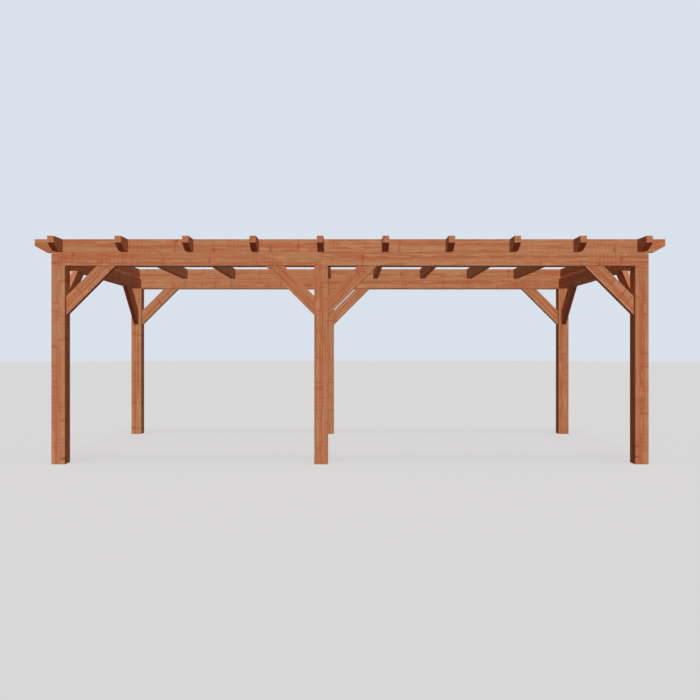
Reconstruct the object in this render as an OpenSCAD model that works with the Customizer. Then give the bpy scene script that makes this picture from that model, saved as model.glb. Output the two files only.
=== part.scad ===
// Open timber pergola frame: six posts, a ring beam, rafters with bevelled
// tails, blocks between the rafters and knee braces. Sizes are in millimetres.
// X runs along the front, Y runs from the front to the back and Z is up.
// The origin is on the ground, under the middle of the frame.

/* [Overall] */
// Length over the tips of the end blocks
overall_length = 7000; // [5500:10:9000]
// Depth over the tips of the rafters
overall_depth = 3500; // [2700:10:4500]
// Height from the ground to the tops of the rafters
overall_height = 2500; // [2000:10:3200]

/* [Posts] */
// Side of the square posts, and the width of the beams on them
post_size = 150; // [100:1:200]
// How far to the left of the centre the middle posts stand
middle_post_shift = 322; // [0:1:500]

/* [Beams] */
// Height of the ring beam that lies on the posts
beam_height = 150; // [100:1:200]

/* [Rafters] */
// Thickness of the rafters and end blocks
rafter_thickness = 70; // [45:1:100]
// Height of the rafters and of all the blocks between them
rafter_height = 145; // [100:1:200]
// How far the rafters run out past the front and back posts
rafter_overhang = 240; // [200:1:350]
// Distance from the outer face of an end post in to the outer rafter
outer_rafter_inset = 55; // [0:1:75]
// Number of equal rafter spaces over the left bay
left_bay_spaces = 4; // [2:1:8]
// Number of equal rafter spaces over the right bay
right_bay_spaces = 5; // [2:1:8]

/* [Bevelled tails] */
// How far the end blocks run out past the end posts
end_overhang = 185; // [180:1:400]
// Height of the plumb nose at the tip of a tail
nose_height = 75; // [40:1:90]
// Length of the straight bevel from the nose down to the full height
bevel_length = 125; // [50:1:180]

/* [Blocks] */
// Thickness of the blocks between the rafters
block_thickness = 70; // [45:1:100]
// Gap left at each end of a block, so that it drops in between two rafters
block_end_gap = 0.5; // [0:0.1:0.9]

/* [Knee braces] */
// Thickness of the braces
brace_thickness = 70; // [45:1:100]
// Width of the brace timber, measured square to its length
brace_width = 150; // [90:1:200]
// Reach of a brace down the post, and the same along the beam
brace_leg = 546; // [350:1:700]

/* [Hidden] */
// Heights of the layers
beam_bottom = overall_height - rafter_height - beam_height;
rafter_bottom = beam_bottom + beam_height;

// Outer faces of the end posts, and of the front and back posts
post_face_x = overall_length / 2 - end_overhang;
post_face_y = overall_depth / 2 - rafter_overhang;

// Centre lines of the posts
post_x = [-post_face_x + post_size / 2, -middle_post_shift, post_face_x - post_size / 2];
post_y = [-post_face_y + post_size / 2, post_face_y - post_size / 2];

// Centre lines of the rafters: one on the middle posts, the rest evenly over each bay
outer_rafter_x = post_face_x - outer_rafter_inset - rafter_thickness / 2;
left_spacing = (outer_rafter_x - middle_post_shift) / left_bay_spaces;
right_spacing = (outer_rafter_x + middle_post_shift) / right_bay_spaces;
rafter_x = concat(
    [for (i = [0 : left_bay_spaces]) -outer_rafter_x + i * left_spacing],
    [for (i = [1 : right_bay_spaces]) -middle_post_shift + i * right_spacing]
);
rafter_count = len(rafter_x);

// Centre lines of the two block rows: each has its front face flush with the front
// face of the front beam, or with the inner face of the back beam
block_y = [for (y = post_y) y - post_size / 2 + block_thickness / 2];

// The first and last rafter space over each bay
bay_spaces = [
    [0, left_bay_spaces - 1],
    [left_bay_spaces, left_bay_spaces + right_bay_spaces - 1]
];

// Length that a brace covers on the post, and on the beam, where it is cut to meet them
brace_foot = brace_width * sqrt(2);

// Words that the names of the pieces are made from
ROWS = ["front", "back"];
COLUMNS = ["left", "middle", "right"];
SIDES = ["left", "right"];

// A knee brace: the words in its name, its post [column, row] and the way it points
TO_RIGHT = 0;
TO_BACK = 90;
TO_LEFT = 180;
TO_FRONT = 270;
BRACES = [
    for (row = [0, 1])
        each [
            [str(ROWS[row], "_left"), [0, row], TO_RIGHT],
            [str(ROWS[row], "_middle_left"), [1, row], TO_LEFT],
            [str(ROWS[row], "_middle_right"), [1, row], TO_RIGHT],
            [str(ROWS[row], "_right"), [2, row], TO_LEFT],
            [str("left_side_", ROWS[row]), [0, row], row == 0 ? TO_BACK : TO_FRONT],
            [str("right_side_", ROWS[row]), [2, row], row == 0 ? TO_BACK : TO_FRONT]
        ]
];

function post_name(column, row) = str("post_", ROWS[row], "_", COLUMNS[column]);
function long_beam_name(side, row) = str("beam_", ROWS[row], "_", SIDES[side]);
function side_beam_name(side) = str("beam_", SIDES[side], "_side");
function rafter_name(i) = str("rafter_", i + 1);
function blocks_name(side, row) = str("blocks_", ROWS[row], "_", SIDES[side]);
function end_block_name(side, row) = str("end_block_", ROWS[row], "_", SIDES[side]);
function brace_name(brace) = str("brace_", brace[0]);

NODES = concat(
    [for (row = [0, 1], column = [0 : 2]) post_name(column, row)],
    [for (row = [0, 1], side = [0, 1]) long_beam_name(side, row)],
    [for (side = [0, 1]) side_beam_name(side)],
    [for (i = [0 : rafter_count - 1]) rafter_name(i)],
    [for (row = [0, 1], side = [0, 1]) blocks_name(side, row)],
    [for (row = [0, 1], side = [0, 1]) end_block_name(side, row)],
    [for (brace = BRACES) brace_name(brace)]
);
node = "all";

function drawn(name) = node == "all" || node == name;

// The finish of the stained wood on each kind of timber
POST_COLOUR = [0.69, 0.44, 0.30];
BEAM_COLOUR = [0.67, 0.42, 0.28];
RAFTER_COLOUR = [0.71, 0.46, 0.31];
BRACE_COLOUR = [0.73, 0.48, 0.33];

// A square-cut timber between two opposite corners
module timber(low, high) {
    translate(low)
        cube(high - low);
}

// A post stands on the ground and ends under the beams
module post(column, row) {
    corner = [post_x[column] - post_size / 2, post_y[row] - post_size / 2, 0];
    color(POST_COLOUR)
        timber(corner, corner + [post_size, post_size, beam_bottom]);
}

// A front or back beam runs from an end post's outer face to the middle post's centre,
// where the two timbers of a row meet
module long_beam(side, row) {
    x_from = side == 0 ? -post_face_x : post_x[1];
    x_to = side == 0 ? post_x[1] : post_face_x;
    y_from = post_y[row] - post_size / 2;
    color(BEAM_COLOUR)
        timber([x_from, y_from, beam_bottom], [x_to, y_from + post_size, rafter_bottom]);
}

// A side beam fits between the front and the back beam, flush with the end posts
module side_beam(side) {
    x_from = post_x[2 * side] - post_size / 2;
    reach = post_face_y - post_size;
    color(BEAM_COLOUR)
        timber([x_from, -reach, beam_bottom], [x_from + post_size, reach, rafter_bottom]);
}

// A rafter lies across the front and back beams, with a bevelled tail at each end
module rafter(i) {
    tip = overall_depth / 2;
    profile = [
        [-tip, overall_height],
        [-tip, overall_height - nose_height],
        [-tip + bevel_length, rafter_bottom],
        [tip - bevel_length, rafter_bottom],
        [tip, overall_height - nose_height],
        [tip, overall_height]
    ];
    color(RAFTER_COLOUR)
        translate([rafter_x[i], 0, 0])
            rotate([90, 0, 90])
                linear_extrude(height = rafter_thickness, center = true)
                    polygon(profile);
}

// The blocks of one bay stand on the beam, one between each pair of rafters
module blocks(side, row) {
    y_from = block_y[row] - block_thickness / 2;
    end_set_back = rafter_thickness / 2 + block_end_gap;
    color(BEAM_COLOUR)
        for (i = [bay_spaces[side][0] : bay_spaces[side][1]])
            timber(
                [rafter_x[i] + end_set_back, y_from, rafter_bottom],
                [rafter_x[i + 1] - end_set_back, y_from + block_thickness, overall_height]
            );
}

// An end block carries a block row on from the outer rafter to a bevelled tip
module end_block(side, row) {
    root = outer_rafter_x + rafter_thickness / 2;
    tip = overall_length / 2;
    profile = [
        [root, rafter_bottom],
        [tip - bevel_length, rafter_bottom],
        [tip, overall_height - nose_height],
        [tip, overall_height],
        [root, overall_height]
    ];
    color(RAFTER_COLOUR)
        translate([0, block_y[row], 0])
            mirror([side == 0 ? 1 : 0, 0, 0])
                rotate([90, 0, 0])
                    linear_extrude(height = block_thickness, center = true)
                        polygon(profile);
}

// A knee brace rises at 45 degrees from a post's face to the underside of a beam,
// and its ends are cut plumb and level to lie flat against both
module brace(column, row, heading) {
    inner = brace_leg - brace_foot;
    profile = [[0, -brace_leg], [brace_leg, 0], [inner, 0], [0, -inner]];
    color(BRACE_COLOUR)
        translate([post_x[column], post_y[row], beam_bottom])
            rotate([0, 0, heading])
                translate([post_size / 2, 0, 0])
                    rotate([90, 0, 0])
                        linear_extrude(height = brace_thickness, center = true)
                            polygon(profile);
}

for (row = [0, 1], column = [0 : 2])
    if (drawn(post_name(column, row))) post(column, row);
for (row = [0, 1], side = [0, 1])
    if (drawn(long_beam_name(side, row))) long_beam(side, row);
for (side = [0, 1])
    if (drawn(side_beam_name(side))) side_beam(side);
for (i = [0 : rafter_count - 1])
    if (drawn(rafter_name(i))) rafter(i);
for (row = [0, 1], side = [0, 1])
    if (drawn(blocks_name(side, row))) blocks(side, row);
for (row = [0, 1], side = [0, 1])
    if (drawn(end_block_name(side, row))) end_block(side, row);
for (brace = BRACES)
    if (drawn(brace_name(brace))) brace(brace[1][0], brace[1][1], brace[2]);
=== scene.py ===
# %% [markdown]
# # An open timber pergola frame
#
# The object is a garden frame of planed softwood with a red-brown stain: six posts, a ring
# of beams, ten rafters with bevelled tails, blocks between the rafters and knee braces.
# Its sizes and joints are settled already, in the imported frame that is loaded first. This
# lesson measures every timber on that frame, saws it again with eased edges, and gives it
# the grain of a real log, so that every face and every end shows the same piece of wood.

# %% Load the frame
import math

import bpy
from mathutils import Matrix, Vector


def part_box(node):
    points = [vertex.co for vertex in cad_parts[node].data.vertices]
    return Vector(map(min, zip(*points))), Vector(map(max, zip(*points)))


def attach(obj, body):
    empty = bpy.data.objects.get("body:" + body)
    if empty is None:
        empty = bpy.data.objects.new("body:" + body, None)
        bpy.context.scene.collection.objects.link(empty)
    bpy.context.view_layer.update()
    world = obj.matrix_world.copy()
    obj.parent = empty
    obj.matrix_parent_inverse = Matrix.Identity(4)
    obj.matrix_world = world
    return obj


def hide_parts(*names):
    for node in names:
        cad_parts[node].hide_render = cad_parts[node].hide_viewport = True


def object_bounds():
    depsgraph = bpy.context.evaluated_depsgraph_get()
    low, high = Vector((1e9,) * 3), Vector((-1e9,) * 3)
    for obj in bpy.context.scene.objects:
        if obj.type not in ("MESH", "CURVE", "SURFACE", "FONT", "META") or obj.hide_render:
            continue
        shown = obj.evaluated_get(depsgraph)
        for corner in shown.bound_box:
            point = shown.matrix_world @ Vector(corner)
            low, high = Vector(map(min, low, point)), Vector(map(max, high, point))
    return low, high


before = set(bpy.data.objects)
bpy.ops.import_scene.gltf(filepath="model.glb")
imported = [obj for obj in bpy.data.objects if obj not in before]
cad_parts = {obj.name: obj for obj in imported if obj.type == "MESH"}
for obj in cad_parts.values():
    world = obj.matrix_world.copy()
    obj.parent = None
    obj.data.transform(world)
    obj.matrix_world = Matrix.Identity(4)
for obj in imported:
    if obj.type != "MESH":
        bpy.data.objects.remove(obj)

cad_box = [list(corner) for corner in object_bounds()]
frame_low, frame_high = (Vector(corner) for corner in cad_box)
print("the frame measures", [round(side, 3) for side in frame_high - frame_low], "m")

# %% [markdown]
# ## Where the camera stands
#
# A long, low frame looks calm from straight in front, with the camera level and at the
# eye height of someone sitting down. Then every post stays upright in the picture, and
# the rafters run to one vanishing point, a little to the right of the middle posts. The
# stand point is measured from the front face of the posts, because that is what sets how
# fast the back row shrinks. A level camera needs no tilt: a small vertical shift frames it.

# %% Place the camera, in metres unless the name says otherwise
STAND_OFF = 7.826
EYE_HEIGHT = 1.257
FARTHEST_SEEN = 400
SENSOR_MM = 36
LENS_MM = 36.27

# As a share of the picture's width
SHIFT_UP = 0.0016


def aim_camera():
    """A level camera that looks straight along +Y at the middle of the front."""
    front_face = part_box("post_front_left")[0].y
    data = bpy.data.cameras.new("camera")
    data.sensor_width = SENSOR_MM
    data.lens = LENS_MM
    data.shift_y = SHIFT_UP
    data.clip_end = FARTHEST_SEEN
    camera = bpy.data.objects.new("camera", data)
    camera.location = (0, front_face - STAND_OFF, EYE_HEIGHT)
    camera.rotation_euler = (math.radians(90), 0, 0)
    bpy.context.scene.collection.objects.link(camera)
    bpy.context.scene.camera = camera
    return camera


camera = aim_camera()
print("the camera stands at", [round(v, 3) for v in camera.location])

# %% [markdown]
# ## Colours as a painter names them
#
# A stain is easiest to choose as it is seen on a screen, from 0 to 255. Blender mixes light in
# linear numbers, so one helper turns the one into the other. Every colour in the lesson goes
# through it, except the warm light that the sky gives, which is written in linear numbers.


# %% Turn a screen colour into a linear one
def linear(*screen):
    """A screen colour, three numbers from 0 to 255, as the linear RGBA that Blender mixes."""
    shares = [level / 255 for level in screen]
    rgb = [s / 12.92 if s <= 0.04045 else ((s + 0.055) / 1.055) ** 2.4 for s in shares]
    return (*rgb, 1)


print("a mid brown stain is", [round(v, 3) for v in linear(176, 113, 77)])

# %% [markdown]
# ## Wiring nodes with few words
#
# Geometry Nodes and shaders are both trees of nodes. A tree could be wired by hand in
# the editor, but a written tree can be read and changed like the rest of the script. The
# first helpers add a node, set its properties and feed its inputs. The others do the
# arithmetic, which is what most of a procedural wood is made of.


# %% Helpers that add nodes and sockets
def find_input(node, name):
    """The input with this name that is in use, or the one with this number."""
    if isinstance(name, int):
        return node.inputs[name]
    return next(s for s in node.inputs if s.name == name and s.enabled)


def add(tree, kind, feeds=None, **settings):
    """Adds a node, and feeds each named input from a socket or with a plain value."""
    node = tree.nodes.new(kind)
    for name, value in settings.items():
        setattr(node, name, value)
    for name, value in (feeds or {}).items():
        socket = find_input(node, name)
        if isinstance(value, bpy.types.NodeSocket):
            tree.links.new(value, socket)
        else:
            socket.default_value = value
    return node


def add_socket(tree, name, kind, way="INPUT"):
    """Gives a tree a named input or output."""
    tree.interface.new_socket(name=name, in_out=way, socket_type="NodeSocket" + kind)


# %% Helpers that do arithmetic with nodes
def maths(tree, operation, *values):
    """One step of arithmetic on numbers or sockets."""
    return add(tree, "ShaderNodeMath", dict(enumerate(values)), operation=operation).outputs[0]


def combined(tree, operation, first, *others):
    """The same step of arithmetic, taken from value to value."""
    for other in others:
        first = maths(tree, operation, first, other)
    return first


def between(tree, share, least, most):
    """A number that goes from least to most as the share goes from 0 to 1."""
    return maths(tree, "MULTIPLY_ADD", share, most - least, least)


def diagonal(tree, width, height):
    """The length across the corners of a rectangle."""
    squares = [maths(tree, "POWER", side, 2.0) for side in (width, height)]
    return maths(tree, "SQRT", maths(tree, "ADD", *squares))


def ramp(tree, value, start, end, low=0.0, high=1.0):
    """A smooth step: low before start, high after end."""
    feeds = {"Value": value, "From Min": start, "From Max": end, "To Min": low, "To Max": high}
    return add(tree, "ShaderNodeMapRange", feeds, interpolation_type="SMOOTHSTEP").outputs[0]


# %% Helpers that work on vectors and colours
def vector_maths(tree, operation, *values):
    """One step of arithmetic on vectors."""
    feeds = dict(enumerate(values))
    return add(tree, "ShaderNodeVectorMath", feeds, operation=operation).outputs[0]


def halved(tree, vector):
    """Half of a vector."""
    return vector_maths(tree, "MULTIPLY", vector, (0.5, 0.5, 0.5))


def blend_colour(tree, share, under, over):
    """Lays one colour over another by a share from 0 to 1."""
    feeds = {"Factor": share, "A": under, "B": over}
    return add(tree, "ShaderNodeMix", feeds, data_type="RGBA").outputs[2]


# %% [markdown]
# ## The floor and the light
#
# The frame stands on a plain pale floor under an even pale sky. The main lamp shines from
# the front and a little from above, so the front faces are bright and the faces that turn
# away stay deep brown, which is what makes an open frame easy to read. Like a ring of lamps
# round a lens it throws no shadow that the viewer would see, or every rafter tail would draw
# a dark patch on the beam behind it. The lamp overhead does throw shadows, soft ones, and
# they stand the posts on the floor. A third lamp lights the back for who walks round it.
#
# The floor and the sky are pale to the eye, and in whatever gloss or glass mirrors them, but
# they throw back less light than they seem to, and warmer, so that the undersides of the
# beams stay brown. The Light Path node tells the two apart. The floor has no gloss, or the
# lamps would lay a bright band on it far away, and it is round, so that its far edge looks
# level from every side.

# %% Colours and strengths of the stage, and its size in metres
FLOOR_SEEN = linear(180, 185, 187)
FLOOR_GIVES = linear(95, 72, 66)
FLOOR_ROUGHNESS = 1.0
FLOOR_SHINE = 0.0
SKY_SEEN = linear(217, 226, 235)
SKY_GIVES = (1.0, 0.57, 0.42, 1)
SKY_STRENGTH = 0.25
FLOOR_RADIUS = 84.0
FLOOR_CORNERS = 180


# %% Tell what looks at the stage from what it lights
def seen_directly(tree):
    """1 where the eye looks, also through gloss or glass; 0 where the stage only gives light."""
    rays = add(tree, "ShaderNodeLightPath").outputs
    kinds = (rays["Is Camera Ray"], rays["Is Glossy Ray"], rays["Is Transmission Ray"])
    return combined(tree, "MAXIMUM", *kinds)


# %% Make the floor
def make_floor():
    """A plain round floor at ground level that looks paler than it lights."""
    angles = [2 * math.pi * number / FLOOR_CORNERS for number in range(FLOOR_CORNERS)]
    corners = [
        (FLOOR_RADIUS * math.cos(a), FLOOR_RADIUS * math.sin(a), frame_low.z) for a in angles
    ]
    mesh = bpy.data.meshes.new("floor")
    mesh.from_pydata(corners, [], [range(FLOOR_CORNERS)])
    floor = bpy.data.objects.new("floor", mesh)
    bpy.context.scene.collection.objects.link(floor)
    material = bpy.data.materials.new("pale floor")
    material.use_nodes = True
    tree = material.node_tree
    shader = tree.nodes["Principled BSDF"]
    colour = blend_colour(tree, seen_directly(tree), FLOOR_GIVES, FLOOR_SEEN)
    tree.links.new(colour, shader.inputs["Base Color"])
    shader.inputs["Roughness"].default_value = FLOOR_ROUGHNESS
    shader.inputs["Specular IOR Level"].default_value = FLOOR_SHINE
    mesh.materials.append(material)


make_floor()
print("the floor is", 2 * FLOOR_RADIUS, "m across")


# %% Make the sky
def make_sky():
    """A pale sky that fills the shadows softly."""
    world = bpy.data.worlds.new("sky")
    world.use_nodes = True
    bpy.context.scene.world = world
    tree = world.node_tree
    background = tree.nodes["Background"]
    seen = seen_directly(tree)
    tree.links.new(blend_colour(tree, seen, SKY_GIVES, SKY_SEEN), background.inputs["Color"])
    tree.links.new(between(tree, seen, SKY_STRENGTH, 1.0), background.inputs["Strength"])


make_sky()
print("the sky gives", SKY_STRENGTH, "of full light")


# %% Hang the lamps
def add_lamp(name, strength, height_deg, turn_deg, softness_deg, shadow):
    """A far lamp this high above the horizon. A turn of 0 shines along +Y, from the front."""
    data = bpy.data.lights.new(name, "SUN")
    data.energy = strength
    data.angle = math.radians(softness_deg)
    data.use_shadow = shadow
    lamp = bpy.data.objects.new(name, data)
    lamp.rotation_euler = (math.radians(90 - height_deg), 0, math.radians(turn_deg))
    bpy.context.scene.collection.objects.link(lamp)


add_lamp("front lamp", strength=3.40, height_deg=47, turn_deg=4, softness_deg=10, shadow=False)
add_lamp("back lamp", strength=2.2, height_deg=25, turn_deg=180, softness_deg=10, shadow=False)
add_lamp("top lamp", strength=0.6, height_deg=80, turn_deg=0, softness_deg=20, shadow=True)
bpy.context.scene.view_settings.view_transform = "Standard"
print("three lamps and a sky light the frame")

# %% [markdown]
# ## How a log becomes a timber
#
# A wood texture painted on each face never meets at the corners. Real timber is solid: the
# rings run round the heart of the log, and each face and each end is a cut through the same
# rings. So the pattern here is worked out in the space of the log. Geometry Nodes store
# where each point lies in its log, in an attribute called `grain`: X along the heart, Y and
# Z away from it. Every timber gets another place along the log and another distance from
# the heart, so no two look alike. Wear doesn't follow the log but the edges of the timber,
# so a second attribute, `section`, says where a point lies in the timber's own box: 0 in
# the middle, -1 on one side and 1 on the other.
#
# Most marks start as noise that is drawn out along the grain. Each has two numbers: how
# often it changes in a metre along the grain, and how often across it.

# %% How often each mark changes in a metre, along the grain and across it
LOG_BENDS = (0.9, 5.0)
LOG_SHIVERS = (4.0, 28.0)
BROAD_STREAKS = (0.2, 30.0)
NARROW_STREAKS = (2.6, 66.0)
FLECKS = (5.5, 66.0)
FIBRES = (24.0, 700.0)
RAGGED_FIBRES = (9.0, 330.0)
RIPPLE_PATCHES = (3.1, 2.6)
RIPPLE_BREAKS = (16.0, 12.0)
RIPPLE_BENDS = (5.0, 7.0)
RIPPLE_FIBRES = (9.0, 260.0)
WEAR_PATCHES = (1.3, 9.0)


# %% Noise that is drawn out along the grain
def long_noise(tree, place, changes, detail=2.0, roughness=0.5):
    """Noise with this many changes to the metre along the grain, and across it."""
    along, across = changes
    stretched = vector_maths(tree, "MULTIPLY", place, (along, across, across))
    feeds = {"Vector": stretched, "Scale": 1.0, "Detail": detail, "Roughness": roughness}
    return add(tree, "ShaderNodeTexNoise", feeds).outputs


def from_middle(tree, noise, reach_along, reach_across):
    """Turns noise into a shift of up to about half of each reach, in metres."""
    centred = vector_maths(tree, "SUBTRACT", noise, (0.5, 0.5, 0.5))
    return vector_maths(tree, "MULTIPLY", centred, (reach_along, reach_across, reach_across))


# %% [markdown]
# ### Knots
#
# A knot is a branch that the log grew round: a cone that starts at the heart and leans
# upwards. The group cuts the log into equal lengths and gives each length one branch, with a
# random place, direction and size. A point in the branch is knot; the wood around it bends
# and takes a redder stain. Where a branch lies flat under a face it shows as a long mark
# across the timber, and where it comes straight out it shows as a small round one. The
# fibres are disturbed at the height of the branch all round the log, and draw a ragged red
# bar there.

# %% Sizes of the branches, in metres
KNOT_SPACINGS = (0.33, 0.47)
BRANCH_LEAN = 0.12
LEAST_TAPER = 0.05
MOST_TAPER = 0.12
THINNEST_BRANCH = 0.0016
THICKEST_BRANCH = 0.009
BRANCH_STARTS = (0.004, 0.012)
BAR_HALF_HEIGHT = (0.004, 0.016)
BAR_REACH = (0.03, 0.13)
BAR_RAGGED = 0.03

# The rims of a knot and of the wood that it disturbs, in radii of the branch
KNOT_RIM = (0.75, 1.25)
HALO_RIM = (0.8, 4.5)

# Where in its length of log a branch may start, as shares of that length
BRANCH_PLACES = (0.25, 0.75)

# How far apart the random numbers of the two kinds of branches start
BRANCH_SEEDS_APART = 100.0


# %% Find the branch in a point's own length of log
def beside_branch(tree, given):
    """How far a point lies along the log from its branch, outwards with it and to its side.

    The last number is random, and sets how quickly the branch grows thick.
    """
    place = add(tree, "ShaderNodeSeparateXYZ", {"Vector": given["Place"]}).outputs
    lengths = maths(tree, "DIVIDE", place["X"], given["Spacing"])
    number = maths(tree, "ADD", maths(tree, "FLOOR", lengths), given["Seed"])
    chance = add(tree, "ShaderNodeTexWhiteNoise", {"W": number}, noise_dimensions="1D").outputs
    draws = add(tree, "ShaderNodeSeparateColor", {"Color": chance["Color"]}).outputs
    root = between(tree, draws["Red"], *BRANCH_PLACES)
    share = maths(tree, "SUBTRACT", maths(tree, "FRACT", lengths), root)
    along = maths(tree, "MULTIPLY", share, given["Spacing"])
    angle = maths(tree, "MULTIPLY", draws["Green"], 2 * math.pi)
    cosine = maths(tree, "COSINE", angle)
    sine = maths(tree, "SINE", angle)
    outwards = maths(tree, "ADD", maths(tree, "MULTIPLY", place["Y"], cosine),
                     maths(tree, "MULTIPLY", place["Z"], sine))
    sideways = maths(tree, "SUBTRACT", maths(tree, "MULTIPLY", place["Z"], cosine),
                     maths(tree, "MULTIPLY", place["Y"], sine))
    return along, outwards, sideways, draws["Blue"]


# %% The knot, the wood around it and its red bar
def cut_branch(tree, along, outwards, sideways, chance):
    """The distance from the middle of the branch, in radii of the branch."""
    leaning = maths(tree, "MULTIPLY_ADD", outwards, -BRANCH_LEAN, along)
    taper = between(tree, chance, LEAST_TAPER, MOST_TAPER)
    radius = maths(tree, "MAXIMUM", maths(tree, "MULTIPLY", outwards, taper), THINNEST_BRANCH)
    radius = maths(tree, "MINIMUM", radius, THICKEST_BRANCH)
    return maths(tree, "DIVIDE", diagonal(tree, leaning, sideways), radius)


def red_bar(tree, place, along, outwards, sideways):
    """1 at the height of the branch, 0 above and below it and far to its side."""
    noise = long_noise(tree, place, RAGGED_FIBRES)["Fac"]
    ragged = between(tree, noise, -BAR_RAGGED / 2, BAR_RAGGED / 2)
    from_heart = diagonal(tree, outwards, sideways)
    rising = maths(tree, "MULTIPLY_ADD", from_heart, -BRANCH_LEAN, along)
    height = maths(tree, "ABSOLUTE", maths(tree, "ADD", rising, ragged))
    level = ramp(tree, height, *BAR_HALF_HEIGHT, 1.0, 0.0)
    near = ramp(tree, maths(tree, "ABSOLUTE", sideways), *BAR_REACH, 1.0, 0.0)
    return maths(tree, "MULTIPLY", level, near)


def make_knot_group():
    """Group: place in the log, spacing and seed in; knot, wood around it and its red bar out."""
    tree = bpy.data.node_groups.new("branches in the log", "ShaderNodeTree")
    add_socket(tree, "Place", "Vector")
    add_socket(tree, "Spacing", "Float")
    add_socket(tree, "Seed", "Float")
    given = add(tree, "NodeGroupInput").outputs
    along, outwards, sideways, chance = beside_branch(tree, given)
    radii = cut_branch(tree, along, outwards, sideways, chance)
    marks = {
        "Knot": ramp(tree, radii, *KNOT_RIM, 1.0, 0.0),
        "Around": ramp(tree, radii, *HALO_RIM, 1.0, 0.0),
        "Bar": red_bar(tree, given["Place"], along, outwards, sideways),
    }
    grown = ramp(tree, outwards, *BRANCH_STARTS)
    for name, mark in marks.items():
        add_socket(tree, name, "Float", "OUTPUT")
        marks[name] = maths(tree, "MULTIPLY", mark, grown)
    add(tree, "NodeGroupOutput", marks)
    return tree


knot_group = make_knot_group()
print(len(knot_group.nodes), "nodes grow the branches")

# %% [markdown]
# ### Rings
#
# The rings are the distance from the heart, wrapped every few millimetres: pale and wide
# where the tree grew in spring, darker and narrow where it grew in summer. The log isn't
# perfectly round or straight, so slow noise bends the distance first, and a knot pushes the
# rings outwards.

# %% Widths of the rings, in metres
RING_WIDTH = 0.0052
RING_PUSH = 0.011

# Where in a ring the summer wood starts and ends, as shares of the ring
SUMMER_STARTS = (0.45, 0.9)
SUMMER_ENDS = (0.93, 1.0)


# %% Draw the rings
def growth_rings(tree, place, around_knots):
    """The summer wood of each ring: 1 in the dark line, 0 in the pale spring wood."""
    across = vector_maths(tree, "MULTIPLY", place, (0.0, 1.0, 1.0))
    from_heart = add(tree, "ShaderNodeVectorMath", {0: across}, operation="LENGTH").outputs["Value"]
    pushed = maths(tree, "MULTIPLY_ADD", around_knots, RING_PUSH, from_heart)
    wrapped = maths(tree, "FRACT", maths(tree, "DIVIDE", pushed, RING_WIDTH))
    summer = ramp(tree, wrapped, *SUMMER_STARTS)
    spring = ramp(tree, wrapped, *SUMMER_ENDS, 1.0, 0.0)
    return maths(tree, "MULTIPLY", summer, spring)


# %% [markdown]
# ### Ripples and wear
#
# Here and there the fibres ripple like a washboard, and there the stain draws reddish bars
# across the timber: a sine wave along the grain, shown in patches only, and bent and broken
# by noise. The long edges of a timber are touched and rained on most. Beside them the stain
# has faded towards tan, in a strip that comes and goes. The square of the distance from the
# middle of the section is 1 on the middle of a face and 2 at a corner, so one number tells
# the strips from the rest.

# %% Sizes of the ripples and of the worn strips
# From one bar to the next, in metres
RIPPLE_STEP = 0.044

# How far noise shifts a bar, as an angle of the wave in radians
RIPPLE_WANDER = 3.5
RIPPLE_RAGGED = 5.0

# How uneven and how wide the worn strips are, in squares of the distance from the middle
WEAR_UNEVEN = 0.9
WORN_STRIP = 0.34

# The levels of noise, or of the wave, between which each part of the ripples comes up
PATCH_EDGE = (0.5, 0.6)
BREAK_EDGE = (0.25, 0.5)
FIBRE_EDGE = (0.3, 0.6)
WAVE_EDGE = (-0.1, 0.9)
FAINTEST_FIBRE = 0.45


# %% Draw the ripples
def rippled_bars(tree, place):
    """Bars across the timber, in patches a hand wide."""
    patch = ramp(tree, long_noise(tree, place, RIPPLE_PATCHES)["Fac"], *PATCH_EDGE)
    broken = ramp(tree, long_noise(tree, place, RIPPLE_BREAKS)["Fac"], *BREAK_EDGE)
    fibres = long_noise(tree, place, RIPPLE_FIBRES)["Fac"]
    fibrous = ramp(tree, fibres, *FIBRE_EDGE, FAINTEST_FIBRE, 1.0)
    wander = maths(tree, "MULTIPLY", long_noise(tree, place, RIPPLE_BENDS)["Fac"], RIPPLE_WANDER)
    ragged = maths(tree, "MULTIPLY", long_noise(tree, place, RAGGED_FIBRES)["Fac"], RIPPLE_RAGGED)
    along = add(tree, "ShaderNodeSeparateXYZ", {"Vector": place}).outputs["X"]
    delay = maths(tree, "ADD", wander, ragged)
    wave = maths(tree, "SINE", maths(tree, "MULTIPLY_ADD", along, 2 * math.pi / RIPPLE_STEP, delay))
    return combined(tree, "MULTIPLY", ramp(tree, wave, *WAVE_EDGE), broken, patch, fibrous)


# %% Find the worn strips beside the edges
def worn_edges(tree, place):
    """1 near the long edges of a timber, where the stain has faded, and 0 down its middle."""
    section = add(tree, "ShaderNodeAttribute", attribute_name="section").outputs["Vector"]
    across = vector_maths(tree, "MULTIPLY", section, (0.0, 1.0, 1.0))
    feeds = {0: across, 1: across}
    squared = add(tree, "ShaderNodeVectorMath", feeds, operation="DOT_PRODUCT").outputs["Value"]
    beyond = maths(tree, "SUBTRACT", squared, 1 + WEAR_UNEVEN / 2)
    noise = long_noise(tree, place, WEAR_PATCHES, detail=1.0)["Fac"]
    return ramp(tree, maths(tree, "MULTIPLY_ADD", noise, WEAR_UNEVEN, beyond), 0.0, WORN_STRIP)


# %% [markdown]
# ### The whole figure
#
# One group gathers the marks, so that every stain draws the same wood. Two kinds of branches
# at different spacings keep the knots from coming at an even step. The stain soaks in
# unevenly along the grain, and that gives the long streaks between tan and red that show
# from far away, when the rings themselves are too fine to see.

# %% Reaches of the bends, in metres, and the share of the broad streaks
LOG_BEND_REACH = 0.05
LOG_SHIVER_REACH = 0.006
BROAD_SHARE = 0.70
BRANCH_MARKS = ("Knot", "Around", "Bar")


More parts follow.
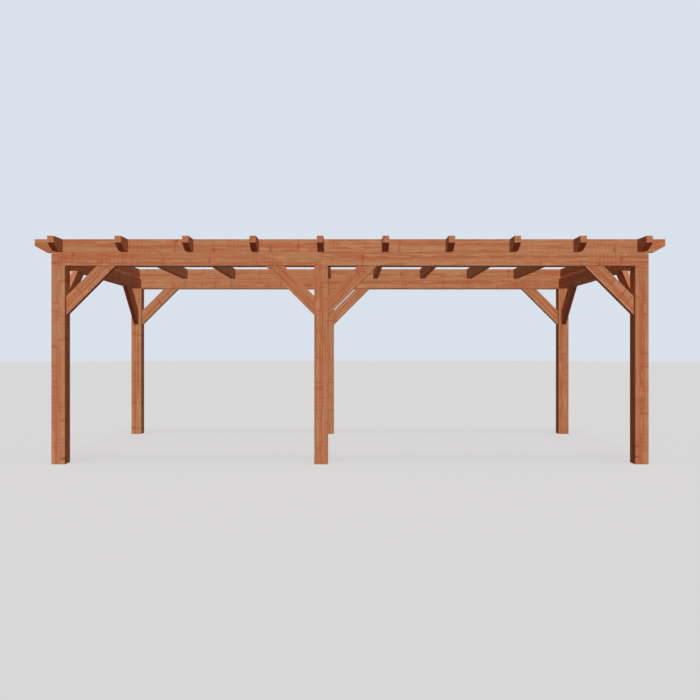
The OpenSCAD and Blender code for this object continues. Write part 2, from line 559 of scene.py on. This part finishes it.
# %% The node group that draws the wood
def all_branches(tree, grain):
    """The marks of two kinds of branches, whichever is stronger at each point."""
    kinds = []
    for number, spacing in enumerate(KNOT_SPACINGS):
        feeds = {"Place": grain, "Spacing": spacing, "Seed": BRANCH_SEEDS_APART * number}
        kinds.append(add(tree, "ShaderNodeGroup", feeds, node_tree=knot_group).outputs)
    return {
        mark: combined(tree, "MAXIMUM", *(kind[mark] for kind in kinds)) for mark in BRANCH_MARKS
    }


def make_figure_group():
    """Group: reads where each point lies in its log, and gives the marks of the wood."""
    tree = bpy.data.node_groups.new("figure of the wood", "ShaderNodeTree")
    grain = add(tree, "ShaderNodeAttribute", attribute_name="grain").outputs["Vector"]
    branches = all_branches(tree, grain)
    bend = from_middle(tree, long_noise(tree, grain, LOG_BENDS)["Color"], 0.0, LOG_BEND_REACH)
    shiver = from_middle(tree, long_noise(tree, grain, LOG_SHIVERS)["Color"], 0.0, LOG_SHIVER_REACH)
    bent = vector_maths(tree, "ADD", vector_maths(tree, "ADD", grain, bend), shiver)
    straight = vector_maths(tree, "ADD", grain, shiver)
    broad = long_noise(tree, straight, BROAD_STREAKS, detail=0.0)["Fac"]
    narrow = long_noise(tree, straight, NARROW_STREAKS)["Fac"]
    broad = maths(tree, "MULTIPLY", broad, BROAD_SHARE)
    found = {
        "End": add(tree, "ShaderNodeAttribute", attribute_name="end_grain").outputs["Fac"],
        "Tone": add(tree, "ShaderNodeAttribute", attribute_name="tone").outputs["Fac"],
        "Knot": branches["Knot"],
        "Around": branches["Around"],
        "Rings": growth_rings(tree, bent, branches["Around"]),
        "Ripple": maths(tree, "MAXIMUM", rippled_bars(tree, grain), branches["Bar"]),
        "Worn": worn_edges(tree, grain),
        "Streak": maths(tree, "MULTIPLY_ADD", narrow, 1 - BROAD_SHARE, broad),
        "Fleck": long_noise(tree, straight, FLECKS, detail=0.0)["Fac"],
        "Fibre": long_noise(tree, grain, FIBRES, roughness=0.6)["Fac"],
    }
    for mark in found:
        add_socket(tree, mark, "Float", "OUTPUT")
    add(tree, "NodeGroupOutput", found)
    return tree


figure_group = make_figure_group()
print(len(figure_group.nodes), "nodes draw the wood")

# %% [markdown]
# ## The stain
#
# All the timbers wear the same red-brown stain. It lies between tan and red by the streaks,
# and nearer to tan in the worn strips. The flecks lighten it, the ripples and the wood round
# the knots turn it red, and the summer rings and the fibres darken it. On a sawn end the
# pores of pale and dark wood alike stand open to the stain, so the rings show less there,
# and the surface is rougher. The finish is matt, and the rings and fibres stand out by about
# half a millimetre.
#
# Each kind of timber has a material of its own, so that it can be changed without the
# others. The only thing that differs here is the strength of the rings: rafters, blocks and
# braces are cut far from the heart, where the tree grew more evenly.

# %% Colours of the stain and of the marks
TAN = linear(183, 134, 96)
RED = linear(178, 109, 74)
PALE_FLECK = linear(196, 152, 114)
SUMMER_WOOD = linear(132, 66, 38)
RED_BAR = linear(172, 84, 60)
RED_HALO = linear(170, 86, 56)
KNOT_HEART = linear(154, 74, 47)

# %% How strongly each mark shows
STREAK_RANGE = (0.36, 0.64)
WEAR_FADES = 0.12
FLECK_RANGE = (0.58, 0.72)
FLECK_SHARE = 0.6
BAR_SHARE = 0.5
HALO_SHARE = 0.5
KNOT_SHARE = 0.75
RINGS_LOST_AT_ENDS = 0.1
FIBRE_LIGHT = (0.88, 1.12)
TIMBER_LIGHT = (0.975, 1.025)
ROUGHNESS = (0.6, 0.76)
ROUGHER_AT_ENDS = 0.14
SHINE = 0.02
RING_HEIGHT_SHARE = 0.35
BUMP_STRENGTH = 0.6
BUMP_HEIGHT = 0.0006


# %% Lay the marks over the stain
def stained_colour(tree, wood, ring_share):
    """The colour of the stained wood, before its fibres shade it."""
    along_grain = maths(tree, "SUBTRACT", 1.0, wood["End"])
    fading = maths(tree, "MULTIPLY", maths(tree, "SUBTRACT", wood["Worn"], 0.5), along_grain)
    faded = maths(tree, "MULTIPLY_ADD", fading, -WEAR_FADES, wood["Streak"])
    redness = ramp(tree, faded, *STREAK_RANGE)
    ring_strength = maths(tree, "MULTIPLY_ADD", wood["End"], -RINGS_LOST_AT_ENDS, ring_share)
    layers = (
        (ramp(tree, wood["Fleck"], *FLECK_RANGE, 0.0, FLECK_SHARE), PALE_FLECK),
        (maths(tree, "MULTIPLY", wood["Ripple"], BAR_SHARE), RED_BAR),
        (maths(tree, "MULTIPLY", wood["Rings"], ring_strength), SUMMER_WOOD),
        (maths(tree, "MULTIPLY", wood["Around"], HALO_SHARE), RED_HALO),
        (maths(tree, "MULTIPLY", wood["Knot"], KNOT_SHARE), KNOT_HEART),
    )
    colour = blend_colour(tree, redness, TAN, RED)
    for share, over in layers:
        colour = blend_colour(tree, share, colour, over)
    return colour


# %% Mix the stains
def stained_wood(name, ring_share):
    """A stained softwood with summer rings this strong."""
    material = bpy.data.materials.new(name)
    material.use_nodes = True
    tree = material.node_tree
    shader = tree.nodes["Principled BSDF"]
    wood = add(tree, "ShaderNodeGroup", node_tree=figure_group).outputs
    shade = maths(tree, "MULTIPLY", between(tree, wood["Fibre"], *FIBRE_LIGHT),
                  between(tree, wood["Tone"], *TIMBER_LIGHT))
    feeds = {"Color": stained_colour(tree, wood, ring_share), "Value": shade}
    shaded = add(tree, "ShaderNodeHueSaturation", feeds).outputs["Color"]
    tree.links.new(shaded, shader.inputs["Base Color"])
    rough = between(tree, wood["Fibre"], *ROUGHNESS)
    rough = maths(tree, "MULTIPLY_ADD", wood["End"], ROUGHER_AT_ENDS, rough)
    tree.links.new(rough, shader.inputs["Roughness"])
    shader.inputs["Specular IOR Level"].default_value = SHINE
    fibres = maths(tree, "MULTIPLY", wood["Fibre"], 1 - RING_HEIGHT_SHARE)
    raised = maths(tree, "MULTIPLY_ADD", wood["Rings"], RING_HEIGHT_SHARE, fibres)
    feeds = {"Height": raised, "Strength": BUMP_STRENGTH, "Distance": BUMP_HEIGHT}
    bump = add(tree, "ShaderNodeBump", feeds).outputs["Normal"]
    tree.links.new(bump, shader.inputs["Normal"])
    return material


RINGS_NEAR_HEART = 0.34
RINGS_FAR_FROM_HEART = 0.32
STAINS = {
    "post_timber": stained_wood("stained post", RINGS_NEAR_HEART),
    "beam_timber": stained_wood("stained beam", RINGS_NEAR_HEART),
    "rafter_timber": stained_wood("stained rafter", RINGS_FAR_FROM_HEART),
    "brace_timber": stained_wood("stained brace", RINGS_FAR_FROM_HEART),
}
print("the stains are for", ", ".join(STAINS))

# %% [markdown]
# ## Sawing a timber with Geometry Nodes
#
# Every timber here is made the way a carpenter makes it: its side is drawn as an outline,
# it is sawn to its thickness, its sharp edges are eased, and then it is set out in its place,
# once or in a row. A cube scaled to size would be quicker, but it has no tails, no mitres
# and no softened edges, and its grain would have to be stretched to fit.
#
# The first tree saws the outline to its thickness. Extrude Mesh moves the flat face and
# leaves a hole where it was, so the flipped outline closes the back.


# %% The tree that saws an outline to its thickness
def make_saw_tree():
    """Geometry Nodes: a flat outline becomes a closed timber of the given thickness."""
    tree = bpy.data.node_groups.new("saw to thickness", "GeometryNodeTree")
    add_socket(tree, "Outline", "Geometry")
    add_socket(tree, "Thickness", "Float")
    add_socket(tree, "Timber", "Geometry", "OUTPUT")
    given = add(tree, "NodeGroupInput").outputs
    across = add(tree, "ShaderNodeCombineXYZ", {"Y": given["Thickness"]}).outputs[0]
    sawn = add(tree, "GeometryNodeExtrudeMesh", {"Mesh": given["Outline"], "Offset": across})
    find_input(sawn, "Individual").default_value = False
    back = add(tree, "GeometryNodeFlipFaces", {"Mesh": given["Outline"]}).outputs["Mesh"]
    both = add(tree, "GeometryNodeJoinGeometry")
    tree.links.new(sawn.outputs["Mesh"], both.inputs[0])
    tree.links.new(back, both.inputs[0])
    closed = add(tree, "GeometryNodeMergeByDistance", {"Geometry": both.outputs[0]}).outputs[0]
    add(tree, "NodeGroupOutput", {"Timber": closed})
    return tree


saw_tree = make_saw_tree()
print("the saw has", len(saw_tree.nodes), "nodes")

# %% [markdown]
# ## Setting timbers out in a row
#
# The second tree works in three steps. First it marks the timber while it still lies flat
# and straight: each point's place along the grain, its place in the timber's own box, and
# how much of a face is end grain. The stain reads these marks.


# %% Mark where each point lies
def store(tree, geometry, name, value, kind="FLOAT", domain="POINT"):
    """Writes an attribute on the geometry and hands the geometry on."""
    feeds = {"Geometry": geometry, "Name": name, "Value": value}
    settings = {"data_type": kind, "domain": domain}
    return add(tree, "GeometryNodeStoreNamedAttribute", feeds, **settings).outputs[0]


def mark_timber(tree, timber):
    """Stores the grain, the section and the end grain of one timber."""
    position = add(tree, "GeometryNodeInputPosition").outputs[0]
    normal = add(tree, "GeometryNodeInputNormal").outputs["Normal"]
    along = add(tree, "ShaderNodeSeparateXYZ", {0: normal}).outputs["X"]
    facing_end = maths(tree, "ABSOLUTE", along)
    limits = add(tree, "GeometryNodeBoundBox", {"Geometry": timber}).outputs
    middle = halved(tree, vector_maths(tree, "ADD", limits["Min"], limits["Max"]))
    half = halved(tree, vector_maths(tree, "SUBTRACT", limits["Max"], limits["Min"]))
    section = vector_maths(tree, "DIVIDE", vector_maths(tree, "SUBTRACT", position, middle), half)
    marked = store(tree, timber, "grain", position, "FLOAT_VECTOR")
    marked = store(tree, marked, "section", section, "FLOAT_VECTOR")
    return store(tree, marked, "end_grain", facing_end, domain="FACE")


# %% [markdown]
# Then it repeats the timber along a line, as instances, and draws for each copy where in a
# log it is cut: how far along, on which side of the heart and how far from it. The numbers
# come from a fixed seed, so each run gives the same wood.

# %% Choose each timber's wood
LOG_LENGTH = 40.0


def random_number(tree, least, most, seed, shift):
    """A random number for each timber of a row, the same at every run."""
    feeds = {"Min": least, "Max": most, "Seed": maths(tree, "ADD", seed, shift)}
    return add(tree, "FunctionNodeRandomValue", feeds, data_type="FLOAT").outputs[1]


def choose_wood(tree, row, given):
    """Stores where in a log each timber of a row is cut, and how light its wood is."""
    seed = given["Seed"]
    far = random_number(tree, given["Nearest to heart"], given["Farthest from heart"], seed, 1)
    side = random_number(tree, 0.0, 2 * math.pi, seed, 2)
    in_log = add(tree, "ShaderNodeCombineXYZ", {
        "X": random_number(tree, 0.0, LOG_LENGTH, seed, 3),
        "Y": maths(tree, "MULTIPLY", far, maths(tree, "COSINE", side)),
        "Z": maths(tree, "MULTIPLY", far, maths(tree, "SINE", side)),
    }).outputs[0]
    row = store(tree, row, "log_place", in_log, "FLOAT_VECTOR", "INSTANCE")
    return store(tree, row, "tone", random_number(tree, 0.0, 1.0, seed, 4), domain="INSTANCE")


# %% [markdown]
# Last it makes the instances real and adds the two places: where the point lies in the
# timber, and where the timber lies in the log. The row ends as plain mesh, with its stain.


# %% The tree that sets timbers out in a row
def move_into_log(tree, row):
    """Adds the timber's place in the log to each point's own grain."""
    kind = "GeometryNodeInputNamedAttribute"
    grain, in_log = (
        add(tree, kind, {"Name": name}, data_type="FLOAT_VECTOR").outputs[0]
        for name in ("grain", "log_place")
    )
    row = store(tree, row, "grain", vector_maths(tree, "ADD", grain, in_log), "FLOAT_VECTOR")
    feeds = {"Geometry": row, "Name": "log_place"}
    return add(tree, "GeometryNodeRemoveAttribute", feeds).outputs[0]


def make_row_tree():
    """Geometry Nodes: one timber becomes a row, each one cut from another part of a log."""
    tree = bpy.data.node_groups.new("set out in a row", "GeometryNodeTree")
    sockets = {"Timber": "Geometry", "Count": "Int", "Step": "Vector", "Seed": "Int",
               "Nearest to heart": "Float", "Farthest from heart": "Float", "Stain": "Material"}
    for name, kind in sockets.items():
        add_socket(tree, name, kind)
    add_socket(tree, "Row", "Geometry", "OUTPUT")
    given = add(tree, "NodeGroupInput").outputs
    feeds = {"Count": given["Count"], "Offset": given["Step"]}
    line = add(tree, "GeometryNodeMeshLine", feeds).outputs[0]
    feeds = {"Points": line, "Instance": mark_timber(tree, given["Timber"])}
    row = add(tree, "GeometryNodeInstanceOnPoints", feeds).outputs[0]
    row = choose_wood(tree, row, given)
    row = add(tree, "GeometryNodeRealizeInstances", {0: row}).outputs[0]
    row = move_into_log(tree, row)
    feeds = {"Geometry": row, "Material": given["Stain"]}
    row = add(tree, "GeometryNodeSetMaterial", feeds).outputs[0]
    add(tree, "NodeGroupOutput", {"Row": row})
    return tree


row_tree = make_row_tree()
print("the setting out has", len(row_tree.nodes), "nodes")

# %% [markdown]
# ## From an outline to a finished piece
#
# One function takes a timber through the whole shop: the outline, the saw, a Bevel that
# eases the edges as a plane would, and the row. The timber lies in its own space, with its
# grain along X, the middle of its thickness at Y = 0 and its lower edge at Z = 0, until the
# row is a plain mesh. Only then is it carried to its place, so the grain stays with the
# wood. The finished object itself sits at the origin, as the frame's own nodes do.

# %% How the edges are eased, in metres
EASED_EDGE = 0.0025
EDGE_STEPS = 2
SHARP_ANGLE = math.radians(12)


# %% Give a modifier its inputs
def set_inputs(modifier, values):
    """Sets a Geometry Nodes modifier's inputs by the identifiers of their sockets."""
    for socket in modifier.node_group.interface.items_tree:
        if socket.in_out == "INPUT" and socket.name in values:
            modifier[socket.identifier] = values[socket.name]


# %% Take a timber through the shop
def flat_outline(name, points, thickness):
    """The outline as one flat face at the back of the timber, looking towards the front."""
    mesh = bpy.data.meshes.new(name)
    corners = [(x, -thickness / 2, z) for x, z in reversed(points)]
    mesh.from_pydata(corners, [], [range(len(corners))])
    return mesh


def saw_and_set_out(name, stain, points, thickness, seed, heart, count, step):
    """The plain mesh of one timber, or of a row of them, in the timber's own space."""
    blank = bpy.data.objects.new(name + "_blank", flat_outline(name, points, thickness))
    bpy.context.scene.collection.objects.link(blank)
    saw = blank.modifiers.new("saw", "NODES")
    saw.node_group = saw_tree
    set_inputs(saw, {"Thickness": thickness})
    ease = blank.modifiers.new("ease", "BEVEL")
    ease.width = EASED_EDGE
    ease.segments = EDGE_STEPS
    ease.angle_limit = SHARP_ANGLE
    row = blank.modifiers.new("row", "NODES")
    row.node_group = row_tree
    set_inputs(row, {"Count": count, "Step": (step, 0.0, 0.0), "Seed": seed, "Stain": stain,
                     "Nearest to heart": heart[0], "Farthest from heart": heart[1]})
    evaluated = blank.evaluated_get(bpy.context.evaluated_depsgraph_get())
    finished = bpy.data.meshes.new_from_object(evaluated)
    bpy.data.objects.remove(blank)
    return finished


def make_timber(node, slot, points, thickness, place, seed, heart, count=1, step=0.0):
    """Makes one timber, or a row of them, and stands it in the place of its node."""
    name = node + "_timber"
    mesh = saw_and_set_out(name, STAINS[slot], points, thickness, seed, heart, count, step)
    mesh.name = name
    mesh.transform(place)
    piece = bpy.data.objects.new(name, mesh)
    bpy.context.scene.collection.objects.link(piece)
    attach(piece, "root")
    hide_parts(node)
    return piece


# %% [markdown]
# ## Reading a timber off the frame
#
# The frame's nodes give every length, height and thickness. A place is three directions and a
# point: where the grain runs, which way is up across the timber, and the corner that the
# outline starts from. Three of the directions never change, so they get names.
#
# A carpenter looks through the stack for a board that suits. Here that means another seed,
# so each kind of timber has a first seed of its own, and the posts can be chosen again
# without a change to the beams. The seeds of one kind differ by whole tens, and the first
# seeds end in different digits, so no two timbers share their wood.

# %% Directions and distances
RIGHT = Vector((1, 0, 0))
BACK = Vector((0, 1, 0))
UP = Vector((0, 0, 1))
SAME_PLACE = 1e-4
SAME_PLACE_DECIMALS = 5
SEEDS_APART = 10


def placed(start, along, up):
    """The matrix that carries timber space to start, with its grain along and its top up."""
    across = up.cross(along)
    turn = Matrix((along, across, up)).transposed()
    return Matrix.Translation(start) @ turn.to_4x4()


def corners_of(node):
    """The corners of a frame node's solids."""
    return [vertex.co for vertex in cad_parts[node].data.vertices]


def measured(node):
    """The lowest corner of a node, its middle and its size."""
    low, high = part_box(node)
    return low, (low + high) / 2, high - low


def square_cut(length, height):
    """The outline of a timber that is sawn square at both ends."""
    return [(0, 0), (length, 0), (length, height), (0, height)]


def make_all(make_piece, prefix, first_seed):
    """Makes a piece for each node whose name starts so, with a seed that only it has."""
    pieces = [
        make_piece(name, first_seed + SEEDS_APART * number)
        for number, name in enumerate(all_nodes) if name.startswith(prefix)
    ]
    print(len(pieces), "pieces for the nodes", prefix)


all_nodes = sorted(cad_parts)
print(len(all_nodes), "nodes to dress")

# %% [markdown]
# ## Posts
#
# Square posts this thick are sawn from a small log, with the heart close to the middle of
# one face, which is why the rings curve round on their ends. They stand on their sawn feet,
# with the grain upright. For each kind of timber two numbers say how near to the heart and
# how far from it the middle of the lower edge may lie. On a post that edge is the front.

# %% Saw the posts
HEART_IN_POST = (0.004, 0.03)
FIRST_POST_SEED = 28


def make_post(node, seed):
    """A post, with its grain upright."""
    low, middle, size = measured(node)
    points = square_cut(size.z, size.y)
    place = placed(Vector((middle.x, low.y, low.z)), UP, BACK)
    return make_timber(node, "post_timber", points, size.x, place, seed, HEART_IN_POST)


make_all(make_post, "post_", FIRST_POST_SEED)

# %% [markdown]
# ## Beams
#
# The ring beam is as wide as the posts, so it is sawn from logs of the same size, but
# longer ones, with the heart a little farther from the face. The long beams meet over the
# middle posts, and the side beams fit between them.

# %% Saw the beams
HEART_IN_BEAM = (0.02, 0.06)
FIRST_BEAM_SEED = 36


def make_beam(node, seed):
    """A beam, with its grain along its longer level side."""
    low, middle, size = measured(node)
    if size.x > size.y:
        start, along, length, width = Vector((low.x, middle.y, low.z)), RIGHT, size.x, size.y
    else:
        start, along, length, width = Vector((middle.x, low.y, low.z)), BACK, size.y, size.x
    points = square_cut(length, size.z)
    place = placed(start, along, UP)
    return make_timber(node, "beam_timber", points, width, place, seed, HEART_IN_BEAM)


make_all(make_beam, "beam_", FIRST_BEAM_SEED)

# %% [markdown]
# ## Rafters and their tails
#
# Each rafter lies on the front and the back beam and runs out past both. Its tail has a
# plumb nose and a straight bevel back down to the full height. The two sizes of a tail are
# read from the frame's own corners: how far above the underside the nose ends, and how far
# back the underside begins. The end blocks have the same tail at one end only.

# %% Measure and draw a tail
HEART_BY_RAFTER = (0.07, 0.15)


def tail_sizes(node, direction):
    """(height under the nose, length of the bevel) of the tail at the far end."""
    corners = corners_of(node)
    tip = max(c.dot(direction) for c in corners)
    bottom = min(c.z for c in corners)
    nose_bottom = min(c.z for c in corners if tip - c.dot(direction) < SAME_PLACE)
    flat_end = max(c.dot(direction) for c in corners if c.z - bottom < SAME_PLACE)
    return nose_bottom - bottom, tip - flat_end


def tailed(length, height, rise, bevel, both_ends):
    """The outline of a timber with a bevelled tail at its far end, or at both."""
    near = [(0, rise), (bevel, 0)] if both_ends else [(0, 0)]
    return near + [(length - bevel, 0), (length, rise), (length, height), (0, height)]


# %% Saw the rafters
FIRST_RAFTER_SEED = 14


def make_rafter(node, seed):
    """A rafter, with a tail at the front and at the back."""
    low, middle, size = measured(node)
    points = tailed(size.y, size.z, *tail_sizes(node, BACK), both_ends=True)
    place = placed(Vector((middle.x, low.y, low.z)), BACK, UP)
    return make_timber(node, "rafter_timber", points, size.x, place, seed, HEART_BY_RAFTER)


make_all(make_rafter, "rafter_", FIRST_RAFTER_SEED)


# %% Saw the end blocks
FIRST_END_BLOCK_SEED = 53


def make_end_block(node, seed):
    """A short block that carries the row of blocks on to a bevelled tip."""
    low, middle, size = measured(node)
    outwards = RIGHT if middle.x > 0 else -RIGHT
    points = tailed(size.x, size.z, *tail_sizes(node, outwards), both_ends=False)
    inner = Vector((middle.x, middle.y, low.z)) - outwards * size.x / 2
    place = placed(inner, outwards, UP)
    return make_timber(node, "rafter_timber", points, size.y, place, seed, HEART_BY_RAFTER)


make_all(make_end_block, "end_block_", FIRST_END_BLOCK_SEED)

# %% [markdown]
# ## Blocks between the rafters
#
# A block fills each space between two rafters, upright on the beam. They are what really
# repeats here: one block, set out again and again at the rafters' spacing. The first block's
# length and the spacing are read from the corners of the row.

# %% Saw the blocks of one bay
FIRST_BLOCK_SEED = 49


def make_blocks(node, seed):
    """The row of blocks over one bay, each from its own piece of wood."""
    low, middle, size = measured(node)
    stops = sorted({round(c.x, SAME_PLACE_DECIMALS) for c in corners_of(node)})
    length, step = stops[1] - stops[0], stops[2] - stops[0]
    place = placed(Vector((low.x, middle.y, low.z)), RIGHT, UP)
    points = square_cut(length, size.z)
    return make_timber(node, "rafter_timber", points, size.y, place, seed, HEART_BY_RAFTER,
                       count=len(stops) // 2, step=step)


make_all(make_blocks, "blocks_", FIRST_BLOCK_SEED)

# %% [markdown]
# ## Knee braces
#
# A knee brace is a short timber at 45 degrees between a post and a beam, and it is what
# stops an open frame from leaning. Its grain runs along the slope, so it is drawn level,
# with both ends mitred, and then turned. Its toe on the post and its way to the beam are
# read from the frame's corners.

# %% Saw the braces
HEART_BY_BRACE = (0.07, 0.14)
FIRST_BRACE_SEED = 30


def make_brace(node, seed):
    """A mitred brace from the face of a post up to the underside of a beam."""
    low, middle, size = measured(node)
    corners = corners_of(node)
    toe_corners = [c for c in corners if c.z - low.z < SAME_PLACE]
    toe = sum(toe_corners, Vector()) / len(toe_corners)
    heading = middle - toe
    heading.z = 0
    heading.normalize()
    cut = max(c.z for c in corners if abs((c - toe).dot(heading)) < SAME_PLACE) - low.z
    length, width = size.z * math.sqrt(2), cut / math.sqrt(2)
    points = [(0, 0), (length, 0), (length - width, width), (width, width)]
    place = placed(toe, (UP + heading).normalized(), (UP - heading).normalized())
    thickness = min(size.x, size.y)
    return make_timber(node, "brace_timber", points, thickness, place, seed, HEART_BY_BRACE)


make_all(make_brace, "brace_", FIRST_BRACE_SEED)
